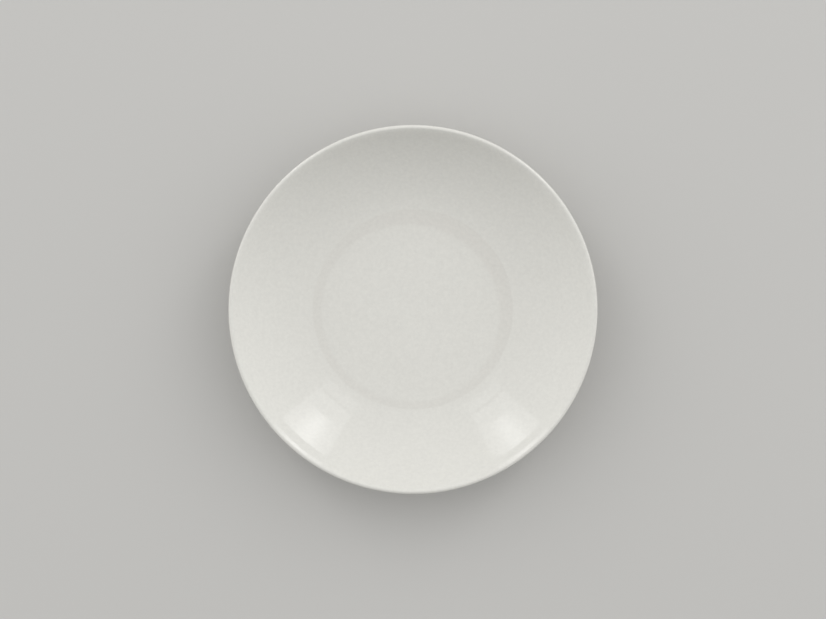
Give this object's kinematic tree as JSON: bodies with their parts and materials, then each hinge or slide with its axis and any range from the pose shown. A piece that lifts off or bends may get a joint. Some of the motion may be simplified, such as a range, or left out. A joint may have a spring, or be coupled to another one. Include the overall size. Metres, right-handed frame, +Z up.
{
  "type": "deep plate",
  "caption": "Round deep coupe plate in glazed porcelain: level well, curved wall with a rounded lip, bare foot ring and a smooth gloss glaze on the eating face.",
  "frame": {"origin": "middle of the foot ring, on the surface that the plate stands on", "axes": "+Z up along the plate's axis of revolution, X and Y level and alike"},
  "size_m": [0.26, 0.26, 0.04],
  "materials": {
    "porcelain": "satin",
    "ground_porcelain": "matte",
    "gloss_glaze": "polished",
    "plain_glaze": "gloss"
  },
  "bodies": {
    "root": {"porcelain_body": "porcelain", "foot_ring": "ground_porcelain", "face_glaze": "gloss_glaze", "back_glaze": "plain_glaze", "recess_glaze": "plain_glaze"}
  },
  "joints": []
}
